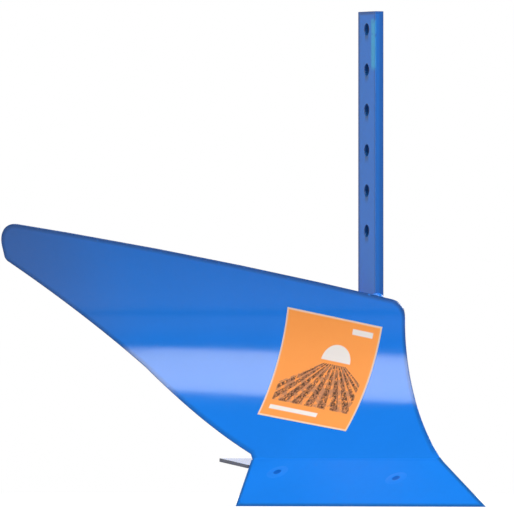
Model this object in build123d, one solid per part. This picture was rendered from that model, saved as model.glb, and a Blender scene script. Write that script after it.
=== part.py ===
from build123d import *

import os
from math import asin, atan2, cos, degrees, hypot, radians, sin, sqrt, tan

# Right-hand plough body on a drilled flat-bar post. Millimetres and degrees.
# +X is the direction of travel, +Y points to the unploughed land and +Z is up.
# The origin is on the landside's sole, straight below the post's centreline.
# "Run" is a distance along the cutting edge from the tip, "setback" one square to it,
# "side" a distance from the furrow wall and "behind" one back from the tip.

# Share: the flat lower blade
EDGE_ANGLE = 37.0  # cutting edge to the direction of travel
EDGE_LENGTH = 329.0  # cutting edge, from the tip to the wing corner
SHARE_FLARE = 32.0  # run from the bottom corner to the top corner at the wing end
SHARE_THICKNESS = 6.0
SEAM_HEIGHT = 52.0  # where the share stops and the mouldboard starts
SEAM_GAP = 0.6

# Mouldboard: a sheet rolled about a level axis that lies along the cutting edge
ROLL_RADIUS = 207.0  # to the working face
ROLL_AXIS_HEIGHT = 206.0
ROLL_SETBACK = 152.0  # deepest line of the working face
BOARD_THICKNESS = 4.0
WING_RUN = 727.8  # wing end
TOP_FRONT_RISE = 20.8  # top edge at the leading corner, over the roll's axis
TOP_WING_HEIGHT = 320.4  # top edge at the wing end
WING_END_DEPTH = 43.6  # from the top edge down to the lower edge, at the wing end
TOP_CROWN = 4.4  # rise of the top edge over its chord
LOW_START_STEP = 6.0  # run from the share's top corner to the start of the lower edge
LOW_START_RISE = 5.8  # height of that start over the seam
LOW_BEND_RUN = 542.6  # where the lower edge changes from hollow to straight
LOW_BEND_HEIGHT = 154.7
LOW_HOLLOW = 6.6  # fall of the lower edge under the chord of its hollow
LEADING_CORNER_RADIUS = 23.0
WING_TOP_RADIUS = 25.0
WING_LOW_RADIUS = 8.0

# Post
POST_WIDTH = 55.0
POST_THICKNESS = 10.0
POST_TOP = 552.0
POST_BOTTOM = 75.0
POST_EDGE_RADIUS = 1.0
HOLE_DIAMETER = 13.0
HOLE_PITCH = 45.0
HOLE_COUNT = 6
TOP_HOLE_DROP = 20.0  # top of the post to the centre of the first hole

# Frog plate and landside
LANDSIDE_THICKNESS = 6.0
LANDSIDE_HEIGHT = 60.0
LANDSIDE_NOSE = 75.0  # behind the tip
HEEL_OVERHANG = 5.0  # landside past the frog's tail
FROG_THICKNESS = 6.0
FROG_BOTTOM = 10.0
FROG_TOP = 200.0
FROG_NOSE = 95.0  # behind the tip
FROG_POST_MARGIN = 10.0  # frog behind the post
FROG_TAIL_HEIGHT = 68.0
FROG_TAIL_MARGIN = 6.0  # frog behind the rear brace
FROG_SHOULDER_RISE = 45.0  # slope from the tail up to the post

# Share seat, rear brace and wing stay
SEAT_WIDTH = 50.0
SEAT_THICKNESS = 6.0
SEAT_END_MARGIN = 14.0  # run from the seat's end to the share's top corner
BRACE_THICKNESS = 4.0
BRACE_OVERHANG = 1.3  # past the share's top corner, to the side
BRACE_REAR = 439.0  # rear edge, behind the tip
BRACE_REAR_HEIGHT = 53.0  # top face at the rear edge
BRACE_TILT = 4.5  # rise towards the rear
BRACE_ROOT = 68.0  # length against the frog
BRACE_SEAM_RUN = 70.0  # length against the seam
BRACE_TRIM = 12.0  # extra length that the back of the seam cuts off
STAY_HEIGHT = 30.0
STAY_THICKNESS = 5.0
STAY_LEVEL = 180.0  # height of its middle
STAY_RUN = 500.0  # where it meets the wing

# Fasteners
SHARE_SCREW = 8.0  # thread
FRONT_SCREW_RUN = 149.5
FRONT_SCREW_DROP = 39.2  # below the seam, down the blade
REAR_SCREW_MARGIN = 48.5  # run from the share's top corner
REAR_SCREW_DROP = 26.7
LANDSIDE_SCREW = 10.0
LANDSIDE_SCREW_PLACES = (205.0, 285.0, 390.0)  # behind the tip
LANDSIDE_SCREW_HEIGHT = 27.0
HEAD_RATIO = 2.0  # countersunk head to thread
FLATS_RATIO = 1.65  # nut across flats to thread
NUT_RATIO = 0.8  # nut height to thread
WASHER_RATIO = 2.0  # washer diameter to thread
WASHER_THICKNESS_RATIO = 0.2
SOCKET_RATIO = 0.625  # hexagon socket across flats to thread
SOCKET_DEPTH_RATIO = 0.35
SCREW_END = 2.5  # thread past the nut
HOLE_CLEARANCE = 0.5  # radius of a screw hole over its screw
HEAD_CLEARANCE = 0.1  # countersink over its head
THREAD_CLEARANCE = 0.1  # nut bore over the thread

# Label on the mouldboard, laid out on the unrolled sheet
LABEL_WIDTH = 127.0
LABEL_HEIGHT = 127.0
LABEL_THICKNESS = 0.25
LABEL_RUN = 305.6  # its centre
LABEL_DROP = 57.6  # its centre below the roll's axis, along the sheet
LABEL_TURN = 10.3
GLUE_LINE = 0.05

# Welds and fit-up
WELD_GAP = 0.3
FACE_GAP = 0.5  # frog behind the share
NOSE_GAP = 3.0  # landside behind the share
POST_WELD = 6.0  # weld radii
POST_WELD_CROWN = 3.0  # the post's weld over the mouldboard's top edge
PLATE_WELD = 4.0
SEAT_WELD = 6.5
WELD_INSET = 8.0  # from the end of a joint to the end of its weld
FROG_STITCHES = (0.12, 0.45, 0.78)  # where they start, as shares of the frog's height over the seam
FROG_STITCH_RISE = 20.0
SEAT_STITCHES = 2
SMALLEST_WELD = 2.0  # volume of a scrap that is left out

# What follows from the sizes above
TURN = radians(EDGE_ANGLE)
ROLL_CENTRE = ROLL_SETBACK - ROLL_RADIUS
TOP_FRONT_HEIGHT = ROLL_AXIS_HEIGHT + TOP_FRONT_RISE
SEAM_SETBACK = ROLL_CENTRE + sqrt(ROLL_RADIUS**2 - (SEAM_HEIGHT - ROLL_AXIS_HEIGHT) ** 2)
SEAM_ROLL_ANGLE = degrees(asin((SEAM_HEIGHT - ROLL_AXIS_HEIGHT) / ROLL_RADIUS))
BLADE = hypot(SEAM_HEIGHT, SEAM_SETBACK)  # share width, up the slope
BLADE_SLOPE = atan2(SEAM_HEIGHT, SEAM_SETBACK)
SHARE_TOP_RUN = EDGE_LENGTH + SHARE_FLARE
SHARE_SCREW_PLACES = (  # run, and distance up the blade
    (FRONT_SCREW_RUN, BLADE - FRONT_SCREW_DROP),
    (SHARE_TOP_RUN - REAR_SCREW_MARGIN, BLADE - REAR_SCREW_DROP),
)
BRACE_SIDE = SHARE_TOP_RUN * sin(TURN) - SEAM_SETBACK * cos(TURN) + BRACE_OVERHANG
LOW_START_RUN = SHARE_TOP_RUN + LOW_START_STEP
FROG_SIDE = LANDSIDE_THICKNESS
POST_SIDE = LANDSIDE_THICKNESS + FROG_THICKNESS
WALL_Y = LANDSIDE_THICKNESS / 2
POST_FRONT_Y = WALL_Y - POST_SIDE - POST_THICKNESS
LEADING_RUN = ROLL_SETBACK / tan(TURN)  # leading edge at the roll's deepest line
REACH = 2 * WING_RUN  # longer than any piece


def behind_at(side, setback):
    """Distance behind the tip of a point with this side and setback."""
    return side / tan(TURN) + setback / sin(TURN)


# The post's front corner on the furrow side just clears the mouldboard's deepest line.
POST_CORNER = behind_at(POST_SIDE + POST_THICKNESS, ROLL_SETBACK + BOARD_THICKNESS + WELD_GAP)
TIP_X = POST_CORNER + POST_WIDTH / 2
FROG_TAIL = BRACE_REAR + FROG_TAIL_MARGIN
LANDSIDE_HEEL = FROG_TAIL + HEEL_OVERHANG

# The body frame has its X along the cutting edge to the tip and its Y square to it, to the rear.
BODY = Location((TIP_X, WALL_Y, 0), (0, 0, EDGE_ANGLE))
ELEVATION = Plane(origin=(0, 0, 0), x_dir=(-1, 0, 0), z_dir=(0, 1, 0))  # run and height
SECTION = Plane(origin=(-REACH, 0, 0), x_dir=(0, 1, 0), z_dir=(1, 0, 0))  # setback and height
BLADE_FACE = Plane(  # run and distance up the blade, with depth into the steel
    origin=(0, 0, 0), x_dir=(-1, 0, 0), z_dir=(0, sin(BLADE_SLOPE), -cos(BLADE_SLOPE))
)


def world(run, setback, height):
    """A point of the body frame in the part's frame."""
    return (BODY * Pos(-run, setback, height)).position


def run_at(side, setback):
    """Run of a point with this side and setback."""
    return (side + setback * cos(TURN)) / sin(TURN)


def at_side(side, setback, height):
    """The point with this side, setback and height, in the part's frame."""
    return world(run_at(side, setback), setback, height)


def roll_setback(height, depth=0.0):
    """Setback of the mouldboard at a height, this deep into the sheet."""
    return ROLL_CENTRE + sqrt((ROLL_RADIUS + depth) ** 2 - (height - ROLL_AXIS_HEIGHT) ** 2)


def blade_point(along, depth):
    """Setback and height of a point this far up the blade and this deep into it."""
    setback = along * cos(BLADE_SLOPE) + depth * sin(BLADE_SLOPE)
    height = along * sin(BLADE_SLOPE) - depth * cos(BLADE_SLOPE)
    return setback, height


def top_edge_height(run):
    """Height of the mouldboard's top edge at a run."""
    share = (run - LEADING_RUN) / (WING_RUN - LEADING_RUN)
    chord = TOP_FRONT_HEIGHT + share * (TOP_WING_HEIGHT - TOP_FRONT_HEIGHT)
    return chord + 4 * TOP_CROWN * share * (1 - share)


def wall_side(shape):
    """The shape without what passes the furrow wall."""
    return split(shape, Plane(origin=(0, WALL_Y, 0), z_dir=(0, 1, 0)), keep=Keep.BOTTOM)


def right_of(shape, side):
    """The shape without what lies nearer to the furrow wall than this side."""
    return split(shape, Plane(origin=(0, WALL_Y - side, 0), z_dir=(0, 1, 0)), keep=Keep.BOTTOM)


def space_behind(blade_depth, board_depth):
    """The room behind the working face: this deep behind the share and behind the mouldboard."""
    centre = (ROLL_CENTRE, ROLL_AXIS_HEIGHT)
    sweep = 90 - SEAM_ROLL_ANGLE
    arc = CenterArc(centre, ROLL_RADIUS + board_depth, SEAM_ROLL_ANGLE, sweep)
    low = blade_point(-blade_depth, blade_depth)
    seam = blade_point(BLADE, blade_depth)
    top = arc @ 1
    rest = Polyline(arc @ 0, seam, low, (REACH, low[1]), (REACH, top.Y), top)
    return BODY * extrude(SECTION * make_face([arc, rest]), 2 * REACH, dir=(1, 0, 0))


def rolled_sheet(inner, outer):
    """A sheet of the mouldboard's roll between two radii, from the seam up."""
    centre = (ROLL_CENTRE, ROLL_AXIS_HEIGHT)
    sweep = 90 - SEAM_ROLL_ANGLE
    face = CenterArc(centre, inner, SEAM_ROLL_ANGLE, sweep)
    back = CenterArc(centre, outer, SEAM_ROLL_ANGLE, sweep)
    rim = make_face([face, Line(face @ 1, back @ 1), back, Line(back @ 0, face @ 0)])
    return extrude(SECTION * rim, 2 * REACH, dir=(1, 0, 0))


def rounded(face, corner, radius):
    """The face with the corner nearest to a point rounded."""
    return fillet(face.vertices().sort_by_distance(corner)[0], radius)


def mouldboard_outline():
    """Elevation of the mouldboard, with its leading edge left for the furrow wall to cut."""
    top_front = (LEADING_RUN, TOP_FRONT_HEIGHT)
    top_wing = (WING_RUN, TOP_WING_HEIGHT)
    low_wing = (WING_RUN, TOP_WING_HEIGHT - WING_END_DEPTH)
    low_bend = (LOW_BEND_RUN, LOW_BEND_HEIGHT)
    low_start = (LOW_START_RUN, SEAM_HEIGHT + LOW_START_RISE)
    edges = [
        SagittaArc(top_front, top_wing, TOP_CROWN),
        Polyline(top_wing, low_wing, low_bend),
        SagittaArc(low_bend, low_start, LOW_HOLLOW),
        Polyline(
            low_start,
            (SHARE_TOP_RUN, SEAM_HEIGHT),
            (SHARE_TOP_RUN, 0),
            (0, 0),
            (0, ROLL_AXIS_HEIGHT),
            (LEADING_RUN, ROLL_AXIS_HEIGHT),
            top_front,
        ),
    ]
    outline = make_face(edges)
    outline = rounded(outline, top_front, LEADING_CORNER_RADIUS)
    outline = rounded(outline, top_wing, WING_TOP_RADIUS)
    return rounded(outline, low_wing, WING_LOW_RADIUS)


def elevation_prism(outline):
    """An elevation pushed through the whole depth of the roll."""
    start = Plane(origin=(0, ROLL_CENTRE, 0), x_dir=ELEVATION.x_dir, z_dir=ELEVATION.z_dir)
    return extrude(start * outline, 2 * ROLL_RADIUS, dir=(0, 1, 0))


def mouldboard():
    """The rolled sheet, trimmed to its outline and to the furrow wall."""
    sheet = rolled_sheet(ROLL_RADIUS, ROLL_RADIUS + BOARD_THICKNESS)
    return wall_side(BODY * (sheet & elevation_prism(mouldboard_outline())))


def blade_plate(corners, depth, thickness):
    """A plate parallel to the share, from corners given as run and distance up the blade."""
    face = make_face(Polyline(*corners, close=True))
    start = BLADE_FACE.offset(depth)
    return BODY * extrude(start * face, thickness, dir=start.z_dir)


def share_places():
    """Frames of the share's screws: origin on the blade's face, Z out of it."""
    for run, along in SHARE_SCREW_PLACES:
        origin = BLADE_FACE.from_local_coords(Vector(run, along, 0))
        yield BODY * Plane(origin=origin, x_dir=(1, 0, 0), z_dir=-BLADE_FACE.z_dir).location


def landside_places():
    """Frames of the landside's screws: origin on the furrow-wall face, Z out of it."""
    for behind in LANDSIDE_SCREW_PLACES:
        origin = (TIP_X - behind, WALL_Y, LANDSIDE_SCREW_HEIGHT)
        yield Plane(origin=origin, x_dir=(1, 0, 0), z_dir=(0, 1, 0)).location


def countersunk_form(thread, length, clearance, head_clearance):
    """A countersunk shank with its flat head at Z 0, pointing down."""
    radius = thread / 2 + clearance
    head = thread * HEAD_RATIO / 2 + head_clearance
    profile = ((0, 0), (head, 0), (radius, radius - head), (radius, -length), (0, -length))
    return revolve(Plane.XZ * make_face(Polyline(*profile, close=True)), Axis.Z)


def screw(thread, grip):
    """A countersunk socket screw that passes this grip, its washer and its nut."""
    length = grip + thread * (WASHER_THICKNESS_RATIO + NUT_RATIO) + SCREW_END
    socket = RegularPolygon(thread * SOCKET_RATIO / 2, 6, major_radius=False)
    cut = extrude(socket, -thread * SOCKET_DEPTH_RATIO)
    return countersunk_form(thread, length, 0, 0) - cut


def washer(thread, grip):
    """The washer under the nut."""
    ring = Circle(thread * WASHER_RATIO / 2) - Circle(thread / 2 + HOLE_CLEARANCE)
    return Pos(0, 0, -grip) * extrude(ring, -thread * WASHER_THICKNESS_RATIO)


def nut(thread, grip):
    """The hexagon nut, with its corners turned off."""
    flats = thread * FLATS_RATIO / 2
    height = thread * NUT_RATIO
    hexagon = extrude(RegularPolygon(flats, 6, major_radius=False), -height)
    corner = flats / cos(radians(30))
    turned = Cylinder(corner, height, align=(Align.CENTER, Align.CENTER, Align.MAX))
    turned = chamfer(turned.edges(), corner - flats)
    bore = Circle(thread / 2 + THREAD_CLEARANCE)
    seat = Pos(0, 0, -grip - thread * WASHER_THICKNESS_RATIO)
    return seat * ((hexagon & turned) - extrude(bore, -height))


def hardware(make, places, thread, grip):
    """One fastener at each place, as a group."""
    return Compound([place * make(thread, grip).solid() for place in places])


def drilled(plate, places, thread, length):
    """The plate with a countersunk hole at each place."""
    for place in places:
        plate -= place * countersunk_form(thread, length, HOLE_CLEARANCE, HEAD_CLEARANCE)
    return plate


SHARE_GRIP = SHARE_THICKNESS + SEAT_THICKNESS
LANDSIDE_GRIP = LANDSIDE_THICKNESS + FROG_THICKNESS


def share():
    """The blade: ground flat under its cutting edge and flush with the furrow wall."""
    top = BLADE - SEAM_GAP
    corners = ((0, 0), (EDGE_LENGTH, 0), (SHARE_TOP_RUN, top), (0, top))
    blade = wall_side(blade_plate(corners, 0, SHARE_THICKNESS))
    blade = split(blade, Plane.XY, keep=Keep.TOP)
    return drilled(blade, share_places(), SHARE_SCREW, SHARE_GRIP)


def share_seat():
    """The bar behind the share that its screws clamp to."""
    end = SHARE_TOP_RUN - SEAT_END_MARGIN
    low = BLADE - SEAT_WIDTH
    corners = ((0, low), (end, low), (end, BLADE), (0, BLADE))
    bar = right_of(blade_plate(corners, SHARE_THICKNESS, SEAT_THICKNESS), POST_SIDE)
    return drilled(bar, share_places(), SHARE_SCREW, SHARE_GRIP)


def upright_plate(corners, side, thickness):
    """A plate along the furrow wall, from corners given as distance behind the tip and height."""
    points = [(TIP_X - behind, height) for behind, height in corners]
    start = Plane(origin=(0, WALL_Y - side, 0), x_dir=(1, 0, 0), z_dir=(0, -1, 0))
    return extrude(start * make_face(Polyline(*points, close=True)), thickness, dir=(0, -1, 0))


def landside():
    """The bar that runs along the furrow wall, its nose cut to the back of the share."""
    corners = (
        (LANDSIDE_NOSE, 0),
        (LANDSIDE_HEEL, 0),
        (LANDSIDE_HEEL, LANDSIDE_HEIGHT),
        (LANDSIDE_NOSE, LANDSIDE_HEIGHT),
    )
    bar = upright_plate(corners, 0, LANDSIDE_THICKNESS)
    bar &= space_behind(SHARE_THICKNESS + NOSE_GAP, BOARD_THICKNESS + NOSE_GAP)
    return drilled(bar, landside_places(), LANDSIDE_SCREW, LANDSIDE_GRIP)


def frog_plate():
    """The upright plate that joins post, mouldboard, seat and landside."""
    post_rear = POST_CORNER + POST_WIDTH + FROG_POST_MARGIN
    corners = (
        (FROG_NOSE, FROG_BOTTOM),
        (FROG_TAIL, FROG_BOTTOM),
        (FROG_TAIL, FROG_TAIL_HEIGHT),
        (post_rear, FROG_TAIL_HEIGHT + FROG_SHOULDER_RISE),
        (post_rear, FROG_TOP),
        (FROG_NOSE, FROG_TOP),
    )
    plate = upright_plate(corners, FROG_SIDE, FROG_THICKNESS)
    plate &= space_behind(SHARE_THICKNESS + FACE_GAP, BOARD_THICKNESS + WELD_GAP)
    return drilled(plate, landside_places(), LANDSIDE_SCREW, LANDSIDE_GRIP)


def post():
    """The flat bar with its row of hitch holes."""
    height = POST_TOP - POST_BOTTOM
    middle = Pos(0, POST_FRONT_Y + POST_THICKNESS / 2, POST_BOTTOM)
    bar = extrude(Rectangle(POST_WIDTH, POST_THICKNESS), height)
    bar = middle * fillet(bar.edges().filter_by(Axis.Z), POST_EDGE_RADIUS)
    drill = Rot(90, 0, 0) * Cylinder(HOLE_DIAMETER / 2, 2 * REACH)
    for index in range(HOLE_COUNT):
        bar -= Pos(0, 0, POST_TOP - TOP_HOLE_DROP - index * HOLE_PITCH) * drill
    return bar


def brace_plane():
    """The brace's top face: origin at its rear edge, X forwards and Y to the land."""
    tilt = radians(BRACE_TILT)
    origin = (TIP_X - BRACE_REAR, WALL_Y, BRACE_REAR_HEIGHT)
    return Plane(origin=origin, x_dir=(cos(tilt), 0, -sin(tilt)), z_dir=(sin(tilt), 0, cos(tilt)))


def seam_behind(side):
    """Distance behind the tip of the seam's back at this side."""
    return behind_at(side, blade_point(BLADE, SHARE_GRIP)[0])


def brace_seam_side():
    """Side where the brace leaves the seam."""
    return BRACE_SIDE - BRACE_SEAM_RUN * sin(TURN)


def rear_brace():
    """The plate that ties the frog's tail to the mouldboard's lower corner."""
    inner = brace_seam_side()
    points = (
        (0, -POST_SIDE),
        (0, -BRACE_SIDE),
        (BRACE_REAR - seam_behind(BRACE_SIDE) + BRACE_TRIM, -BRACE_SIDE),
        (BRACE_REAR - seam_behind(inner) + BRACE_TRIM, -inner),
        (BRACE_ROOT, -POST_SIDE),
    )
    plane = brace_plane()
    plate = extrude(plane * make_face(Polyline(*points, close=True)), -BRACE_THICKNESS, dir=plane.z_dir)
    return plate & space_behind(SHARE_GRIP + WELD_GAP, BOARD_THICKNESS + WELD_GAP)


def stay_ends():
    """The wing stay's middle line: from the post's rear edge to the back of the wing."""
    start = Vector(-POST_WIDTH / 2, POST_FRONT_Y + POST_THICKNESS / 2, STAY_LEVEL)
    end = world(STAY_RUN, roll_setback(STAY_LEVEL, BOARD_THICKNESS), STAY_LEVEL)
    return start, end


def wing_stay():
    """The strut between the post and the wing, cut to both."""
    start, end = stay_ends()
    line = end - start
    plane = Plane(origin=start - line, x_dir=line, z_dir=(0, 0, 1))
    bar = Box(3 * line.length, STAY_THICKNESS, STAY_HEIGHT, align=(Align.MIN, Align.CENTER, Align.CENTER))
    bar = split(plane * bar, Plane(origin=start, z_dir=(1, 0, 0)), keep=Keep.BOTTOM)
    return bar & space_behind(SHARE_GRIP, BOARD_THICKNESS + WELD_GAP)


def label():
    """The square sticker, wrapped on the working face."""
    corners = []
    for across, up in ((-1, -1), (1, -1), (1, 1), (-1, 1)):
        corners.append(Vector(across * LABEL_WIDTH / 2, up * LABEL_HEIGHT / 2).rotate(Axis.Z, LABEL_TURN))

    def on_sheet(flat):
        """A point of the unrolled sheet in elevation."""
        rise = (flat.Y - LABEL_DROP) / ROLL_RADIUS
        return (LABEL_RUN + flat.X, ROLL_AXIS_HEIGHT + ROLL_RADIUS * sin(rise))

    sides = []
    for first, second in zip(corners, corners[1:] + corners[:1]):
        middle = (first + second) / 2
        sides.append(ThreePointArc(on_sheet(first), on_sheet(middle), on_sheet(second)))
    film = rolled_sheet(ROLL_RADIUS - GLUE_LINE - LABEL_THICKNESS, ROLL_RADIUS - GLUE_LINE)
    return BODY * (film & elevation_prism(make_face(sides)))


def weld(path, radius, *joined):
    """A run of weld along the root of a joint, cut back to the pieces that it joins."""
    points = [Vector(point) for point in path]
    run = Pos(points[0]) * Sphere(radius)
    for start, end in zip(points, points[1:]):
        line = end - start
        rod = Cylinder(radius, line.length, align=(Align.CENTER, Align.CENTER, Align.MIN))
        run += Plane(origin=start, z_dir=line) * rod
        run += Pos(end) * Sphere(radius)
    run &= space_behind(SHARE_THICKNESS, BOARD_THICKNESS)
    for piece in joined:
        run -= piece
    return [solid for solid in run.solids() if solid.volume > SMALLEST_WELD]


def post_board_weld(pieces):
    """Up the post's front corner, then across its front edge, to just over the mouldboard."""
    x = POST_WIDTH / 2
    top = top_edge_height(run_at(POST_SIDE + POST_THICKNESS, ROLL_SETBACK))
    low = (x, POST_FRONT_Y, ROLL_AXIS_HEIGHT - POST_WELD)
    level = top + POST_WELD_CROWN - POST_WELD
    high = (x, POST_FRONT_Y, level)
    across = (x, POST_FRONT_Y + POST_THICKNESS - POST_WELD, level)
    return weld((low, high, across), POST_WELD, pieces["post"])


def post_frog_weld(pieces):
    """Up both edges of the post and under its end, on the frog plate."""
    x = POST_WIDTH / 2
    y = WALL_Y - POST_SIDE
    low = POST_BOTTOM + WELD_INSET
    high = STAY_LEVEL - STAY_HEIGHT / 2 - WELD_INSET
    joined = (pieces["post"], pieces["frog_plate"])
    beads = []
    for edge in (-x, x):
        beads += weld(((edge, y, low), (edge, y, high)), PLATE_WELD, *joined)
    inset = x - WELD_INSET
    under = ((-inset, y, POST_BOTTOM), (inset, y, POST_BOTTOM))
    return beads + weld(under, PLATE_WELD, *joined)


def frog_board_weld(pieces):
    """Three stitches down the frog plate's front edge, on the back of the mouldboard."""
    beads = []
    span = FROG_TOP - SEAM_HEIGHT
    for share_up in FROG_STITCHES:
        low = SEAM_HEIGHT + share_up * span
        ends = []
        for height in (low, low + FROG_STITCH_RISE):
            ends.append(at_side(POST_SIDE, roll_setback(height, BOARD_THICKNESS), height))
        beads += weld(ends, PLATE_WELD, pieces["frog_plate"])
    return beads


def seat_frog_weld(pieces):
    """Under the seat's end, on the frog plate."""
    ends = []
    for along in (BLADE - SEAT_WIDTH + WELD_INSET, BLADE - WELD_INSET):
        ends.append(at_side(POST_SIDE, *blade_point(along, SHARE_GRIP)))
    return weld(ends, PLATE_WELD, pieces["share_seat"], pieces["frog_plate"])


def seat_board_weld(pieces):
    """Stitches along the seat's upper edge, on the back of the mouldboard."""
    setback, height = blade_point(BLADE + SEAT_WELD / 3, SHARE_THICKNESS + SEAT_THICKNESS / 2)
    frog_end = run_at(POST_SIDE, setback)
    brace_start = run_at(brace_seam_side(), setback)
    pitch = (brace_start - frog_end) / (2 * SEAT_STITCHES + 1)
    beads = []
    for index in range(SEAT_STITCHES):
        start = frog_end + (2 * index + 1) * pitch
        ends = [world(run, setback, height) for run in (start, start + pitch)]
        beads += weld(ends, SEAT_WELD, pieces["share_seat"])
    return beads


def brace_frog_weld(pieces):
    """Along the brace's root, on the frog plate."""
    plane = brace_plane()
    ends = []
    for forward in (WELD_INSET, BRACE_ROOT - WELD_INSET):
        ends.append(plane.from_local_coords(Vector(forward, -POST_SIDE, 0)))
    return weld(ends, PLATE_WELD, pieces["rear_brace"], pieces["frog_plate"])


def brace_board_weld(pieces):
    """Along the brace's front edge, on the back of the mouldboard."""
    setback, height = blade_point(BLADE, SHARE_GRIP)
    seam_top = height + BRACE_THICKNESS
    start = run_at(brace_seam_side(), setback) + WELD_INSET
    end = SHARE_TOP_RUN - WELD_INSET
    joined = (pieces["share_seat"], pieces["rear_brace"])
    ends = [world(run, setback, seam_top) for run in (start, end)]
    return weld(ends, PLATE_WELD, *joined)


def stay_welds(pieces):
    """Up both sides of the wing stay at each of its ends."""
    start, end = stay_ends()
    line = (end - start).normalized()
    half = STAY_THICKNESS / 2
    across = Vector(-line.Y, line.X, 0)
    low = Vector(0, 0, -STAY_HEIGHT / 2 + PLATE_WELD)
    high = Vector(0, 0, STAY_HEIGHT / 2 - PLATE_WELD)
    joined = (pieces["post"], pieces["wing_stay"], pieces["frog_plate"])
    beads = []
    for side in (-half, half):
        foot = start + across * side
        foot = foot - line * ((foot.X - start.X) / line.X)
        beads += weld((foot + low, foot + high), PLATE_WELD / 2, *joined)
    face = Vector(*world(0, 1, 0)) - Vector(*world(0, 0, 0))
    for side in (-half, half):
        foot = end + across * side
        foot = foot - line * ((foot - end).dot(face) / line.dot(face))
        beads += weld((foot + low, foot + high), PLATE_WELD, pieces["wing_stay"])
    return beads


WELDS = {
    "weld_post_mouldboard": post_board_weld,
    "weld_post_frog": post_frog_weld,
    "weld_frog_mouldboard": frog_board_weld,
    "weld_seat_frog": seat_frog_weld,
    "weld_seat_mouldboard": seat_board_weld,
    "weld_brace_frog": brace_frog_weld,
    "weld_brace_mouldboard": brace_board_weld,
    "weld_wing_stay": stay_welds,
}


def build():
    """Every piece of the plough by its name."""
    pieces = {
        "post": post(),
        "mouldboard": mouldboard(),
        "share": share(),
        "share_seat": share_seat(),
        "frog_plate": frog_plate(),
        "landside": landside(),
        "rear_brace": rear_brace(),
        "wing_stay": wing_stay(),
        "label": label(),
    }
    for name, make in (("screws", screw), ("washers", washer), ("nuts", nut)):
        pieces["share_" + name] = hardware(make, share_places(), SHARE_SCREW, SHARE_GRIP)
        pieces["landside_" + name] = hardware(make, landside_places(), LANDSIDE_SCREW, LANDSIDE_GRIP)
    for name, make in WELDS.items():
        pieces[name] = Compound(make(pieces))
    return pieces


os.makedirs("parts", exist_ok=True)
for name, piece in build().items():
    export_step(piece, os.path.join("parts", name + ".step"))
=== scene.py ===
"""Looks of a right-hand plough body: blue enamel on steel, rippled welds, zinc nuts and a printed label.

Sizes are in metres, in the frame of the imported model: +X is the direction of travel, +Y points to the
unploughed land and +Z is up.
"""

from __future__ import annotations

import logging
import math
from collections.abc import Iterator
from dataclasses import dataclass, field
from enum import Enum

import bmesh
import bpy
from bmesh.types import BMEdge, BMesh, BMFace, BMVert
from bpy.types import ID, Material, Mesh, MeshVertex, Node, NodeSocket, NodeTree, Object
from mathutils import Matrix, Quaternion, Vector
from mathutils.bvhtree import BVHTree

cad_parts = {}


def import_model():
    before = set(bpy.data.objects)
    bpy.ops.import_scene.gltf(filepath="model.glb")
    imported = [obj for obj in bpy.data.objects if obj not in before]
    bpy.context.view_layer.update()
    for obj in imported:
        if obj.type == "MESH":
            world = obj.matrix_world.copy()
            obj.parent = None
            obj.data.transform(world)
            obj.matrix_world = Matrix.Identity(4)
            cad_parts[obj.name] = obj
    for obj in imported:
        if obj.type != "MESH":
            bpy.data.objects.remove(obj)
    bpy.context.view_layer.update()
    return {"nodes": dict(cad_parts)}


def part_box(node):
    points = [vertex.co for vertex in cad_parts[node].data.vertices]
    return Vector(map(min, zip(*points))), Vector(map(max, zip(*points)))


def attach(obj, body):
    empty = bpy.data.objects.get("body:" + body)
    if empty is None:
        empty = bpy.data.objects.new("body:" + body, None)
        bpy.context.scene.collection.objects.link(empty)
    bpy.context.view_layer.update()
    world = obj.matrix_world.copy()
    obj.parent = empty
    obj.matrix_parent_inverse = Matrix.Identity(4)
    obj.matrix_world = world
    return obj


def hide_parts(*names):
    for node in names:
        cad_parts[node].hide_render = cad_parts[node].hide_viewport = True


LOG = logging.getLogger("plough")
BODY = "root"
MM = 0.001
IMAGE_SIDE = 514  # pixels of the square picture
GOLDEN_ANGLE = math.radians(137.508)  # spreads directions evenly
ONE_PLACE = 0.002 * MM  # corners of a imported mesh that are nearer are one
ONE_FACE = math.radians(0.3)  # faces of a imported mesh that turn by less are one
LEAST_EDGE = 0.02 * MM  # shorter edges of a rounded piece are closed up
FOLD = 30.0  # degrees between two faces that meet in a crisp edge
NO_FOLD = 180.0  # more degrees than two faces turn by, so that every edge is smooth
UPRIGHT = 0.6  # most rise of an upright face's normal
SKEW = 0.15  # least lean of a corner face's normal, along X and along Y
NOISE_MEAN = 0.5
MIDDLE = 0.5  # of a printed row, and of the film
WHITE = (1.0, 1.0, 1.0)
BLACK = (0.0, 0.0, 0.0)

Colour = tuple[float, float, float]
Fade = tuple[float, float]  # where a mask is 0, and where it is 1
Noise = tuple[float, float]  # size of the clouds, and how many finer layers they have
Value = NodeSocket | float | Colour  # a socket to link, or a number or colour to set


class Slot(Enum):
    """The record's material slots, which each new piece names; nothing here gives them to the pieces."""

    PAINT = "blue_paint"
    WELD = "painted_weld"
    SCREW = "painted_screw"
    FILM = "label_film"


@dataclass(frozen=True)
class Patches:
    """Soft-edged patches of noise: their size, the noise's levels at their edge and their finer layers."""

    size: float
    edge: Fade
    detail: float = 2.0


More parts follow.
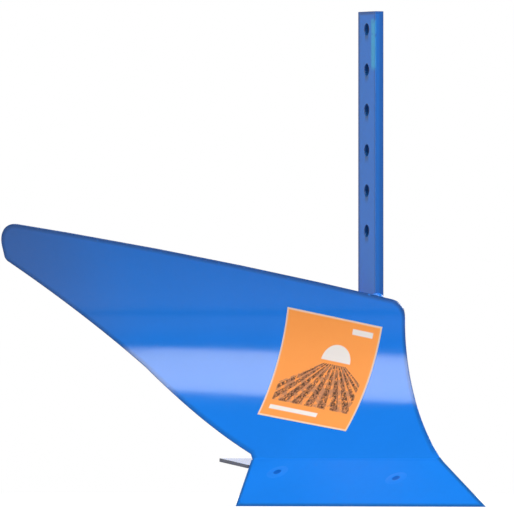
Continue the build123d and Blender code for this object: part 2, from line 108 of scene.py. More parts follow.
class Graph:
    """A node tree with short ways to add and join its nodes."""

    def __init__(self, tree: NodeTree) -> None:
        """Takes over a tree."""
        self.tree = tree

    def add(self, kind: str, **settings: object) -> Node:
        """Adds one node.

        Args:
            kind: The node's type name, without its "ShaderNode" start.
            settings: Attributes of the node to set.

        Returns:
            The new node.
        """
        node = self.tree.nodes.new("ShaderNode" + kind)
        for name, value in settings.items():
            setattr(node, name, value)
        return node

    def put(self, socket: NodeSocket, value: Value) -> None:
        """Links a value to an input, or sets it there.

        Args:
            socket: The input.
            value: What it gets.
        """
        if isinstance(value, NodeSocket):
            self.tree.links.new(value, socket)
        elif socket.type == "RGBA":
            socket.default_value = (*value, 1.0)
        else:
            socket.default_value = value

    def feed(self, node: Node, **values: Value) -> None:
        """Gives some of a node's inputs their values, each by its name with _ for a space."""
        for name, value in values.items():
            self.put(node.inputs[name.replace("_", " ")], value)

    def group(self, tree: NodeTree, **values: Value) -> NodeSocket:
        """Places a node group with its own values.

        Args:
            tree: The group.
            values: What each input gets, by name, with _ for a space.

        Returns:
            The group's result.
        """
        node = self.add("Group", node_tree=tree)
        self.feed(node, **values)
        return node.outputs[0]

    def math(self, operation: str, *values: Value) -> NodeSocket:
        """Works on one number, or on more of them from left to right.

        Args:
            operation: Name of the sum.
            values: The numbers.

        Returns:
            The result.
        """
        result, *others = values
        for other in others or [0.0]:
            node = self.add("Math", operation=operation)
            self.put(node.inputs[0], result)
            self.put(node.inputs[1], other)
            result = node.outputs[0]
        return result

    def product(self, *values: Value) -> NodeSocket:
        """All its numbers multiplied."""
        return self.math("MULTIPLY", *values)

    def minus(self, first: Value, second: Value) -> NodeSocket:
        """The first number less the second."""
        return self.math("SUBTRACT", first, second)

    def gap(self, first: Value, second: Value) -> NodeSocket:
        """How far two numbers lie apart."""
        return self.math("ABSOLUTE", self.minus(first, second))

    def length(self, first: Value, second: Value) -> NodeSocket:
        """Length of a line with these two sides."""
        return self.math("SQRT", self.math("ADD", self.product(first, first), self.product(second, second)))

    def fade(self, value: Value, low: float, high: float) -> NodeSocket:
        """A soft mask.

        Args:
            value: What is read.
            low: Where the mask is 0.
            high: Where the mask is 1.

        Returns:
            The mask.
        """
        node = self.add("MapRange", interpolation_type="SMOOTHSTEP")
        self.feed(node, Value=value, From_Min=min(low, high), From_Max=max(low, high))
        self.feed(node, To_Min=float(low > high), To_Max=float(low < high))
        return node.outputs["Result"]

    def band(self, value: Value, low: float, high: float, soft: float) -> NodeSocket:
        """A mask that is 1 between two values and fades inside both of them."""
        return self.product(self.fade(value, low, low + soft), self.fade(value, high, high - soft))

    def noise(self, size: float, detail: float) -> NodeSocket:
        """Cloudy noise on the piece's own coordinates.

        Args:
            size: Size of its clouds.
            detail: How many finer layers it has.

        Returns:
            The noise.
        """
        node = self.add("TexNoise")
        self.feed(node, Vector=self.add("TexCoord").outputs["Object"], Scale=1.0 / size, Detail=detail)
        return node.outputs["Fac"]

    def patches(self, patches: Patches) -> NodeSocket:
        """The mask of some patches of noise."""
        return self.fade(self.noise(patches.size, patches.detail), *patches.edge)

    def mix(self, share: Value, first: Value, second: Value) -> NodeSocket:
        """Mixes two colours.

        Args:
            share: How much of the second colour.
            first: First colour.
            second: Second colour.

        Returns:
            The mixed colour.
        """
        node = self.add("Mix", data_type="RGBA", clamp_factor=True)
        values = {"Factor_Float": share, "A_Color": first, "B_Color": second}
        for socket in node.inputs:
            if socket.identifier in values:
                self.put(socket, values[socket.identifier])
        return next(socket for socket in node.outputs if socket.identifier == "Result_Color")

    def split(self, vector: NodeSocket) -> tuple[NodeSocket, ...]:
        """The X, Y and Z of a vector.

        Args:
            vector: The vector.

        Returns:
            Its three numbers.
        """
        node = self.add("SeparateXYZ")
        self.feed(node, Vector=vector)
        return tuple(node.outputs)

    def place(self) -> tuple[NodeSocket, ...]:
        """The X, Y and Z of the piece's own coordinates."""
        return self.split(self.add("TexCoord").outputs["Object"])


@dataclass
class Effects:
    """The surface effects that more than one finish uses, each built once as a node group."""

    broad_tone: Noise = (90 * MM, 1.0)
    fine_tone: Noise = (7 * MM, 3.0)
    broad_share: float = 0.7
    # noise that breaks up the painted shade on rims
    rim_breakup: Patches = Patches(5 * MM, (0.1, 0.42))
    recess_edge: Fade = (0.3, 0.6)
    gloss_clouds: Noise = (25 * MM, 4.0)
    sheet_waves: Noise = (120 * MM, 0.0)
    paint_peel: Noise = (3 * MM, 1.0)

    def __post_init__(self) -> None:
        """Builds the groups."""
        self.tone = self._tone()
        self.edge = self._edge()
        self.gloss = self._gloss()
        self.relief = self._relief()

    @staticmethod
    def _start(
        name: str, result: str, kind: str, **inputs: str
    ) -> tuple[Graph, bpy.types.bpy_prop_collection, NodeSocket]:
        """Starts a group.

        Args:
            name: The group's name.
            result: Name of its result.
            kind: Kind of its result.
            inputs: Kind of each input by name, with _ for a space.

        Returns:
            The group's graph, the sockets that it is given and the socket of its result.
        """
        tree = bpy.data.node_groups.new(name, "ShaderNodeTree")
        for label, sort in inputs.items():
            label = label.replace("_", " ")
            tree.interface.new_socket(label, in_out="INPUT", socket_type="NodeSocket" + sort)
        tree.interface.new_socket(result, in_out="OUTPUT", socket_type="NodeSocket" + kind)
        given, out = tree.nodes.new("NodeGroupInput"), tree.nodes.new("NodeGroupOutput")
        return Graph(tree), given.outputs, out.inputs[0]

    def _tone(self) -> NodeTree:
        """Broad and fine changes in the depth of a colour.

        Returns:
            The group.
        """
        graph, given, out = self._start("colour_tone", "Colour", "Color", Colour="Color", Depth="Float")
        broad = graph.product(graph.noise(*self.broad_tone), self.broad_share)
        fine = graph.product(graph.noise(*self.fine_tone), 1.0 - self.broad_share)
        swing = graph.product(graph.minus(graph.math("ADD", broad, fine), NOISE_MEAN), given["Depth"])
        scaled = graph.add("VectorMath", operation="SCALE")
        graph.put(scaled.inputs[0], given["Colour"])
        graph.feed(scaled, Scale=graph.math("ADD", swing, 1.0))
        graph.put(out, scaled.outputs[0])
        return graph.tree

    def _edge(self) -> NodeTree:
        """Painted shade in the rim colour on rounded edges, and in corners and recesses that the piece's own
        shape hides.

        Returns:
            The group.
        """
        inputs = {"Colour": "Color", "Rim_Colour": "Color", "Rim": "Float", "Shade": "Float"}
        graph, given, out = self._start("edge_shade", "Colour", "Color", **inputs)
        rim = graph.add("Attribute", attribute_name="rim").outputs["Fac"]
        rim = graph.product(rim, given["Rim"], graph.patches(self.rim_breakup))
        edged = graph.mix(rim, given["Colour"], given["Rim Colour"])
        # painted shade where the piece's own shape blocks the outlook
        recess = graph.add("Attribute", attribute_name="recess").outputs["Fac"]
        recess_shade = graph.product(graph.fade(recess, *self.recess_edge), given["Shade"])
        graph.put(out, graph.mix(recess_shade, edged, given["Rim Colour"]))
        return graph.tree

    def _gloss(self) -> NodeTree:
        """Roughness that changes over the surface, by up to its spread.

        Returns:
            The group.
        """
        graph, given, out = self._start("gloss", "Roughness", "Float", Roughness="Float", Spread="Float")
        cloud = graph.product(graph.minus(graph.noise(*self.gloss_clouds), NOISE_MEAN), 1 / NOISE_MEAN)
        graph.put(out, graph.math("ADD", given["Roughness"], graph.product(cloud, given["Spread"])))
        return graph.tree

    def _relief(self) -> NodeTree:
        """Height of a painted sheet: slow waves of the steel and the paint's orange peel.

        Returns:
            The group.
        """
        graph, given, out = self._start("relief", "Height", "Float", Wave="Float", Peel="Float")
        wave = graph.product(graph.noise(*self.sheet_waves), given["Wave"])
        peel = graph.product(graph.noise(*self.paint_peel), given["Peel"])
        graph.put(out, graph.math("ADD", wave, peel))
        return graph.tree


@dataclass
class Roll:
    """The mouldboard's roll, a level cylinder along the cutting edge, and the share that joins it.

    A run is a distance along the cutting edge from the tip, a setback is level and behind that edge, and a
    height is over the floor.
    """

    edge_angle: float = math.radians(37.0)
    radius: float = 207 * MM
    axis_height: float = 206 * MM
    deepest: float = 152 * MM
    thickness: float = 4 * MM
    level_reach: float = math.radians(50.0)
    seam_height: float = 52 * MM
    seam_run: float = 361 * MM
    share_run: float = 329 * MM

    def __post_init__(self) -> None:
        """Reads the tip's place from the frame and works out the directions and the joint."""
        self.tip = Vector((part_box("share")[1].x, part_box("landside")[1].y, 0.0))
        self.along = Vector((-math.cos(self.edge_angle), -math.sin(self.edge_angle), 0.0))
        self.inward = Vector((-math.sin(self.edge_angle), math.cos(self.edge_angle), 0.0))
        self.centre = self.deepest - self.radius
        self.axis_point = self.point(0.0, self.centre, self.axis_height)
        self.seam_setback = self.setback(self.seam_height, 0.0)
        self.share_slope = math.atan2(self.seam_height, self.seam_setback)
        self.end_lean = (self.seam_run - self.share_run) / self.seam_height

    def setback(self, height: float, depth: float) -> float:
        """Setback of the sheet at a height and a depth into the steel."""
        return self.centre + math.sqrt((self.radius + depth) ** 2 - (height - self.axis_height) ** 2)

    def point(self, run: float, setback: float, height: float) -> Vector:
        """A point in the part's frame, from its run, setback and height."""
        return self.tip + self.along * run + self.inward * setback + Vector((0, 0, height))

    def outward(self, point: Vector) -> Vector:
        """The vector from the roll's axis straight out to a point."""
        offset = point - self.axis_point
        return offset - self.along * offset.dot(self.along)

    def share_out(self) -> Vector:
        """The way straight out of the share's face."""
        return Vector((0, 0, math.cos(self.share_slope))) - self.inward * math.sin(self.share_slope)

    def rolled(self, run: float, height: float, depth: float) -> Vector:
        """A point of the sheet once it is rolled, from its run, height and depth into the steel."""
        return self.point(run, self.setback(height, depth), height)

    def unrolled(self, place: Vector) -> Vector:
        """The run and height of a point of the working face, with no depth."""
        return Vector(((place - self.tip).dot(self.along), place.z, 0.0))

    def behind_wall(self, run: float, height: float, depth: float) -> float:
        """The run of a point of the sheet, moved on if the point would pass the furrow wall."""
        passed = self.rolled(run, height, depth).y - self.tip.y
        return run + max(0.0, passed) / math.sin(self.edge_angle)

    def wrapped(self, run: float, arc: float, depth: float) -> Vector:
        """A point of a film on the working face.

        Args:
            run: Its run.
            arc: Distance up the sheet from the level of the axis.
            depth: Distance out of the working face, away from the steel.

        Returns:
            The point in the part's frame.
        """
        angle = arc / self.radius
        out = self.inward * math.cos(angle) + Vector((0, 0, math.sin(angle)))
        return self.axis_point + self.along * run + out * (self.radius - depth)

    def levels(self, angle_step: float) -> list[float]:
        """Heights that divide the roll into equal angles, from low to high."""
        count = int(self.level_reach / angle_step)
        return [self.axis_height + self.radius * math.sin(i * angle_step) for i in range(-count, count + 1)]


@dataclass(frozen=True)
class Finish:
    """What every finish has: a name, a gloss that changes a little, and a slight relief."""

    name: str
    roughness: float
    spread: float
    wave: float
    peel: float

    def make(self, effects: Effects) -> Material:
        """Makes the material.

        Args:
            effects: The shared effects.

        Returns:
            The material.
        """
        material = bpy.data.materials.new(self.name)
        material.use_nodes = True
        graph = Graph(material.node_tree)
        gloss = graph.group(effects.gloss, Roughness=self.roughness, Spread=self.spread)
        bump = graph.add("Bump")
        graph.feed(bump, Distance=1.0, Height=graph.group(effects.relief, Wave=self.wave, Peel=self.peel))
        shader = graph.tree.nodes["Principled BSDF"]
        graph.feed(shader, Roughness=gloss, Normal=bump.outputs["Normal"], **self.dressing(graph, effects))
        return material

    def dressing(self, graph: Graph, effects: Effects) -> dict[str, Value]:
        """The finish's own values for the shader, by name, with _ for a space."""
        raise NotImplementedError


@dataclass(frozen=True)
class Enamel(Finish):
    """Blue enamel on steel."""

    roughness: float = 0.12
    spread: float = 0.03
    wave: float = 0.2 * MM
    peel: float = 0.012 * MM
    colour: Colour = (0.010, 0.22, 0.84)
    # rim_colour is painted shade on rims and in recesses, unless a finish gives its rims a colour of their
    # own
    rim_colour: Colour = (0.012, 0.085, 0.31)
    depth: float = 0.14
    rim: float = 0.85
    # how much painted shade the recesses take
    recess_shade: float = 0.6
    ior: float = 1.55
    mirror: float = 0.5

    def dressing(self, graph: Graph, effects: Effects) -> dict[str, Value]:
        """The paint with painted shade on its rims and in its recesses, and how well it mirrors.

        Args:
            graph: The material's graph.
            effects: The shared effects.

        Returns:
            The shader's values.
        """
        paint = self.paint(graph, graph.group(effects.tone, Colour=self.colour, Depth=self.depth))
        rims = {"Rim_Colour": self.rim_colour, "Rim": self.rim, "Shade": self.recess_shade}
        edged = graph.group(effects.edge, Colour=paint, **rims)
        return {"Base_Color": edged, "IOR": self.ior, "Specular_IOR_Level": self.mirror}

    def paint(self, graph: Graph, plain: NodeSocket) -> NodeSocket:
        """The paint's colour before its rims are shaded: here, the plain one."""
        return plain


@dataclass(frozen=True)
class SheetEnamel(Enamel):
    """Enamel of the mouldboard, with painted shade that makes it greyer and darker towards the end of its
    wing.
    """

    rim: float = 1.0
    wing_shade_colour: Colour = (0.04, 0.168, 0.57)
    wing: Fade = (-190 * MM, -350 * MM)

    def paint(self, graph: Graph, plain: NodeSocket) -> NodeSocket:
        """The paint with the painted shade at the end of its wing."""
        return graph.mix(graph.fade(graph.place()[0], *self.wing), plain, self.wing_shade_colour)


@dataclass(frozen=True)
class PostEnamel(Enamel):
    """Enamel of the post, with painted shade on its edges and in its bores, a darker tail under each hole and
    a painted highlight beside the top two.

    The fades of the edges and of the streak are distances from the post's own faces.
    """

    box: tuple[Vector, Vector] = field(default_factory=lambda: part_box("post"))
    # painted shade on the rear and top edges, across the front face towards the land side and on the front
    # corner of the furrow side
    rear_edge: Fade = (9 * MM, 3 * MM)
    front_edge: Fade = (3 * MM, 0.5 * MM)
    land_edge: Fade = (13 * MM, 1 * MM)
    top_edge: Fade = (5 * MM, 2 * MM)
    edge_strength: float = 0.85
    edge_shade_colour: Colour = (0.012, 0.10, 0.38)
    corner: Fade = (5 * MM, 1.5 * MM)
    corner_strength: float = 0.55
    # a darker tail under each hole; painted shade in each bore, lighter in its lower half as if lit from
    # above, and stretched sideways past the bore
    holes: int = 6
    hole_pitch: float = 45 * MM
    hole_radius: float = 6.5 * MM
    top_hole: float = 20 * MM
    tail_length: float = 9 * MM
    tail_side: Fade = (7 * MM, 2.8 * MM)
    tail_end: float = 1 * MM
    tail_strength: float = 0.8
    tail_and_lit_bore_colour: Colour = (0.012, 0.10, 0.26)
    bore_shade_colour: Colour = (0.002, 0.032, 0.16)
    bore_stretch: float = 1.2
    bore_lip: Fade = (0.6 * MM, 0.1 * MM)
    # painted highlight: a pale streak on the furrow face beside the front corner, by the top two holes
    glint_middle: float = 7 * MM
    glint_side: Fade = (9 * MM, 2.7 * MM)
    glint_face: Fade = (2 * MM, 1 * MM)
    glint_top: Fade = (7 * MM, 11 * MM)
    glint_foot: Fade = (68 * MM, 60 * MM)
    glint_patches: Patches = Patches(9 * MM, (0.25, 0.45))
    glint_colour: Colour = (0.03, 0.48, 0.90)

    def paint(self, graph: Graph, plain: NodeSocket) -> NodeSocket:
        """The paint with painted shade on its edges, the marks of its holes and its painted highlight.

        Args:
            graph: The material's graph.
            plain: The plain paint.

        Returns:
            The colour.
        """
        x, y, z = graph.place()
        low, high = self.box
        rear, front = graph.minus(x, low.x), graph.minus(high.x, x)
        furrow, land = graph.minus(y, low.y), graph.minus(high.y, y)
        top = graph.minus(high.z, z)
        # painted shade: rear and top edges, the front face towards the land side, and the front corner on the
        # furrow side
        front_land = graph.product(graph.fade(front, *self.front_edge), graph.fade(land, *self.land_edge))
        rear_edge, top_edge = graph.fade(rear, *self.rear_edge), graph.fade(top, *self.top_edge)
        edges = graph.product(graph.math("MAXIMUM", rear_edge, front_land, top_edge), self.edge_strength)
        corner = graph.fade(graph.length(front, furrow), *self.corner)
        dark = graph.math("MAXIMUM", edges, graph.product(corner, self.corner_strength))
        colour = self._hole_marks(graph, graph.mix(dark, plain, self.edge_shade_colour), x, top)
        # painted highlight along the front corner's furrow side
        streak = graph.product(
            graph.fade(graph.gap(front, self.glint_middle), *self.glint_side),
            graph.fade(furrow, *self.glint_face),
            graph.fade(top, *self.glint_top),
            graph.fade(top, *self.glint_foot),
            graph.patches(self.glint_patches),
        )
        return graph.mix(streak, colour, self.glint_colour)

    def _hole_marks(self, graph: Graph, paint: NodeSocket, x: NodeSocket, top: NodeSocket) -> NodeSocket:
        """Adds a darker tail under each hole, and painted shade in its bore that is lighter in its lower
        half, as if lit from above, and reaches past the bore to each side.

        Args:
            graph: The material's graph.
            paint: The paint so far.
            x: Place along the post's width.
            top: Distance under the post's top.

        Returns:
            The colour.
        """
        half = self.hole_pitch / 2
        tail_foot = self.hole_radius + self.tail_length
        last = self.top_hole + (self.holes - 1) * self.hole_pitch + tail_foot
        drilled = graph.fade(top, last + self.tail_end, last)
        below = graph.math("ADD", graph.minus(top, self.top_hole), half)
        below = graph.minus(graph.math("MODULO", below, self.hole_pitch), half)
        # the darker tail under each hole
        run = graph.product(
            graph.fade(below, 0.0, self.tail_end),
            graph.fade(below, tail_foot, self.hole_radius),
            graph.fade(graph.math("ABSOLUTE", x), *self.tail_side),
            drilled,
            self.tail_strength,
        )
        # painted shade in the bore, stretched sideways past it, with its lower half lighter as if lit from
        # above
        off_hole = graph.length(below, graph.product(x, 1 / self.bore_stretch))
        bored = graph.fade(graph.minus(off_hole, self.hole_radius), *self.bore_lip)
        bore = graph.mix(graph.fade(below, 0.0, self.hole_radius), self.bore_shade_colour, self.tail_and_lit_bore_colour)
        return graph.mix(graph.product(bored, drilled), graph.mix(run, paint, self.tail_and_lit_bore_colour), bore)


@dataclass(frozen=True)
class ShareEnamel(Enamel):
    """Enamel of the share, with painted shade along its cutting edge and its two ends."""

    roll: Roll = field(default_factory=Roll)
    edge: Fade = (4.6 * MM, 1.38 * MM)
    edge_shade_colour: Colour = (0.012, 0.125, 0.42)

    def paint(self, graph: Graph, plain: NodeSocket) -> NodeSocket:
        """The paint with painted shade along its edges.

        Args:
            graph: The material's graph.
            plain: The plain paint.

        Returns:
            The colour.
        """
        x, y, z = graph.place()
        tip, angle = self.roll.tip, self.roll.edge_angle
        to_wall = graph.minus(tip.y, y)
        back = graph.product(graph.minus(tip.x, x), math.cos(angle))
        run = graph.math("ADD", back, graph.product(to_wall, math.sin(angle)))
        end = graph.math("ADD", graph.product(z, self.roll.end_lean), self.roll.share_run)
        near = graph.math("MINIMUM", z, graph.minus(end, run), to_wall)
        return graph.mix(graph.fade(near, *self.edge), plain, self.edge_shade_colour)


@dataclass(frozen=True)
class ZincPlate(Finish):
    """Bright zinc plate on nuts and washers."""

    name: str = "zinc_plate"
    roughness: float = 0.34
    spread: float = 0.12
    wave: float = 0.0
    peel: float = 0.02 * MM
    bright: Colour = (0.66, 0.67, 0.66)
    dull: Colour = (0.36, 0.38, 0.40)
    dull_patches: Patches = Patches(1.6 * MM, (0.35, 0.68), 3.0)

    def dressing(self, graph: Graph, effects: Effects) -> dict[str, Value]:
        """The cloudy grey metal."""
        grey = graph.mix(graph.patches(self.dull_patches), self.bright, self.dull)
        return {"Base_Color": grey, "Metallic": 1.0}


@dataclass(frozen=True)
class PrintedFilm(Finish):
    """An orange printed film: a low sun over ploughed rows, and two white bars.

    Places on it go from 0 to 1, across and up. A bar is given by its left, right, lower and upper edge.
    """

    name: str = "printed_film"
    roughness: float = 0.55
    spread: float = 0.06
    wave: float = 0.1 * MM
    peel: float = 0.006 * MM
    mirror: float = 0.3
    ground: Colour = (0.97, 0.345, 0.075)
    depth: float = 0.16
    # painted light: the orange ink emits light of its own, though it is no lamp
    painted_glow: Colour = (1.0, 0.26, 0.03)
    painted_glow_strength: float = 0.11
    soft: float = 0.01
    vanishing: tuple[float, float] = (0.60, 0.66)
    least_drop: float = 0.02
    horizon: float = 0.58
    rows: int = 11
    row_spread: float = 1.6
    row_soft: float = 0.03
    row_shift: float = 10.0
    row_edge: Fade = (0.36, 0.26)
    field_foot: Fade = (0.16, 0.18)
    field_sides: tuple[float, float] = (0.07, 0.93)
    field_soft: float = 0.02
    worn: Patches = Patches(2.4 * MM, (0.3, 0.55))
    ink: Colour = (0.09, 0.04, 0.022)
    pale_ink: Colour = (0.42, 0.16, 0.07)
    pale_patches: Patches = Patches(3 * MM, (0.4, 0.62), 3.0)
    tint: Colour = (0.60, 0.25, 0.115)
    tint_patches: Patches = Patches(6 * MM, (0.38, 0.6), 4.0)
    white: Colour = (0.93, 0.86, 0.80)
    sun_rise: float = 0.03
    sun_radius: float = 0.15
    bars: tuple[tuple[float, ...], ...] = ((0.08, 0.62, 0.075, 0.125), (0.70, 0.925, 0.875, 0.935))
    margin: float = 0.016
    margin_soft: float = 0.004
    margin_colour: Colour = (0.92, 0.66, 0.47)

    def dressing(self, graph: Graph, effects: Effects) -> dict[str, Value]:
        """The print, and painted light: the orange ink emits a little light of its own, though it is no lamp.

        Args:
            graph: The material's graph.
            effects: The shared effects.

        Returns:
            The shader's values.
        """
        across, up, _ = graph.split(graph.add("UVMap", uv_map="film").outputs["UV"])
        prints = (
            *self._ploughed(graph, across, up),
            (self._whites(graph, across, up), self.white),
            (self._border(graph, across, up), self.margin_colour),
        )
        colour = graph.group(effects.tone, Colour=self.ground, Depth=self.depth)
        painted_glow = self.painted_glow
        for mask, ink in prints:
            colour = graph.mix(mask, colour, ink)
            painted_glow = graph.mix(mask, painted_glow, BLACK)
        values = {"Base_Color": colour, "Specular_IOR_Level": self.mirror}
        return values | {"Emission_Color": painted_glow, "Emission_Strength": self.painted_glow_strength}

    def _ploughed(self, graph: Graph, across: NodeSocket, up: NodeSocket) -> tuple[tuple[Value, Value], ...]:
        """The tinted field under the horizon, and its rows, which spread from one point.

        Args:
            graph: The material's graph.
            across: Place across the film.
            up: Place up the film.

        Returns:
            The mask and ink of the field and of the rows.
        """
        drop = graph.math("MAXIMUM", graph.minus(self.vanishing[1], up), self.least_drop)
        fan = graph.math("DIVIDE", graph.minus(across, self.vanishing[0]), drop)
        ground = graph.product(
            graph.fade(graph.math("ABSOLUTE", fan), self.row_spread + self.row_soft, self.row_spread),
            graph.fade(up, self.horizon + self.soft, self.horizon),
            graph.fade(up, *self.field_foot),
            graph.band(across, *self.field_sides, self.field_soft),
        )
        rows_per_fan = self.rows / (2 * self.row_spread)
        stripes = graph.math("FRACT", graph.product(graph.math("ADD", fan, self.row_shift), rows_per_fan))
        line = graph.fade(graph.gap(stripes, MIDDLE), *self.row_edge)
        rows = graph.product(line, graph.patches(self.worn), ground)
        soil = graph.mix(graph.patches(self.pale_patches), self.ink, self.pale_ink)
        return (graph.product(ground, graph.patches(self.tint_patches)), self.tint), (rows, soil)

    def _whites(self, graph: Graph, across: NodeSocket, up: NodeSocket) -> NodeSocket:
        """Mask of the half sun over the horizon and of the bars.

        Args:
            graph: The material's graph.
            across: Place across the film.
            up: Place up the film.

        Returns:
            The mask.
        """
        rise = graph.minus(up, self.horizon + self.sun_rise)
        off_sun = graph.length(graph.minus(across, self.vanishing[0]), rise)
        disc = graph.fade(off_sun, self.sun_radius + self.soft, self.sun_radius)
        masks = [graph.product(disc, graph.fade(rise, 0.0, self.soft))]
        for left, right, lower, upper in self.bars:
            sides = graph.band(across, left, right, self.soft)
            masks.append(graph.product(sides, graph.band(up, lower, upper, self.soft)))
        return graph.math("MAXIMUM", *masks)

    def _border(self, graph: Graph, across: NodeSocket, up: NodeSocket) -> NodeSocket:
        """Mask of the unprinted border."""
        off = graph.math("MAXIMUM", graph.gap(across, MIDDLE), graph.gap(up, MIDDLE))
        return graph.fade(graph.minus(off, MIDDLE - self.margin), -self.margin_soft, self.margin_soft)


def merged_copy(node: Object) -> BMesh:
    """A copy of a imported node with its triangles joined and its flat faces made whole.

    Args:
        node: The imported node.

    Returns:
        The copy.
    """
    copy = bmesh.new()
    copy.from_mesh(node.data)
    bmesh.ops.remove_doubles(copy, verts=copy.verts, dist=ONE_PLACE)
    bmesh.ops.dissolve_limit(copy, angle_limit=ONE_FACE, verts=copy.verts, edges=copy.edges)
    return copy


def extrude(shape: BMesh) -> list[BMVert]:
    """Extrudes a flat shape by nothing yet, and gives the corners of its far side."""
    made = bmesh.ops.extrude_face_region(shape, geom=shape.faces[:])["geom"]
    return [corner for corner in made if isinstance(corner, BMVert)]


def bevel(
    shape: BMesh, edges: list[BMEdge], width: float, segments: int, slide: bool = False
) -> list[BMFace]:
    """Rounds some edges.

    Args:
        shape: The shape to change.
        edges: The edges to round.
        width: Width of the rounding on each face.
        segments: Faces across it.
        slide: Whether its ends slide along the edges that they meet.

    Returns:
        The rounded faces.
    """
    return bmesh.ops.bevel(
        shape,
        geom=edges,
        offset=width,
        offset_type="OFFSET",
        segments=segments,
        profile=0.5,
        affect="EDGES",
        loop_slide=slide,
        material=-1,
    )["faces"]


def cut_through(shape: BMesh, point: Vector, normal: Vector, **settings: float) -> list[BMEdge]:
    """Cuts a whole shape along a plane.

    Args:
        shape: The shape to change.
        point: A point of the plane.
        normal: The plane's normal.
        settings: More settings of the cut, by name.

    Returns:
        The edges that lie in the cut.
    """
    everything = [*shape.verts, *shape.edges, *shape.faces]
    cut = bmesh.ops.bisect_plane(shape, geom=everything, plane_co=point, plane_no=normal, **settings)
    return [edge for edge in cut["geom_cut"] if isinstance(edge, BMEdge)]


def face_outward(shape: BMesh) -> None:
    """Turns the faces of a closed shape so that they all look outward.

    Args:
        shape: The shape to change.
    """
    bmesh.ops.recalc_face_normals(shape, faces=shape.faces)
    if shape.calc_volume(signed=True) < 0:
        bmesh.ops.reverse_faces(shape, faces=shape.faces)


def islands(shape: BMesh) -> Iterator[list[BMVert]]:
    """The separate bodies of a shape.

    Args:
        shape: The shape.

    Yields:
        The corners of one body.
    """
    left = set(shape.verts)
    for start in shape.verts:
        if start in left:
            left.remove(start)
            found = [start]
            for corner in found:
                others = [edge.other_vert(corner) for edge in corner.link_edges]
                found += [other for other in others if other in left]
                left.difference_update(others)
            yield found


def finished_mesh(name: str, shape: BMesh, sharp: float = NO_FOLD) -> Mesh:
    """Turns a shape into a smooth-shaded mesh and frees it.

    Args:
        name: The mesh's name.
        shape: The shape.
        sharp: Edges whose faces turn by more than this angle, in degrees, stay sharp.

    Returns:
        The mesh.
    """
    mesh = bpy.data.meshes.new(name)
    shape.to_mesh(mesh)
    shape.free()
    mesh.shade_smooth()
    mesh.set_sharp_from_angle(angle=math.radians(sharp))
    return mesh


def placed(name: str, data: ID) -> Object:
    """Puts a new object of a mesh, lamp or camera in the scene.

    Args:
        name: The object's name.
        data: The mesh, lamp or camera.

    Returns:
        The object.
    """
    made = bpy.data.objects.new(name, data)
    bpy.context.scene.collection.objects.link(made)
    return made


@dataclass
class Workshop:
    """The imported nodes, the materials, and the one way that a finished piece joins the frame."""

    nodes: dict[str, Object]
    materials: dict[str, Material]

    def add(
        self, name: str, shape: BMesh, finish: str, slot: Slot, stands_for: str = "", sharp: float = NO_FOLD
    ) -> Object:
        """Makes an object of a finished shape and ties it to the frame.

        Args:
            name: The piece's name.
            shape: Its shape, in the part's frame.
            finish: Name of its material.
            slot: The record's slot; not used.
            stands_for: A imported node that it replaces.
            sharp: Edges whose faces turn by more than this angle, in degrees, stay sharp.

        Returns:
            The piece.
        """
        mesh = finished_mesh(name, shape, sharp)
        mesh.materials.append(self.materials[finish])
        piece = placed(name, mesh)
        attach(piece, BODY)
        if stands_for:
            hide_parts(stands_for)
        LOG.info("%s: %d faces, %s", name, len(mesh.polygons), finish)
        return piece


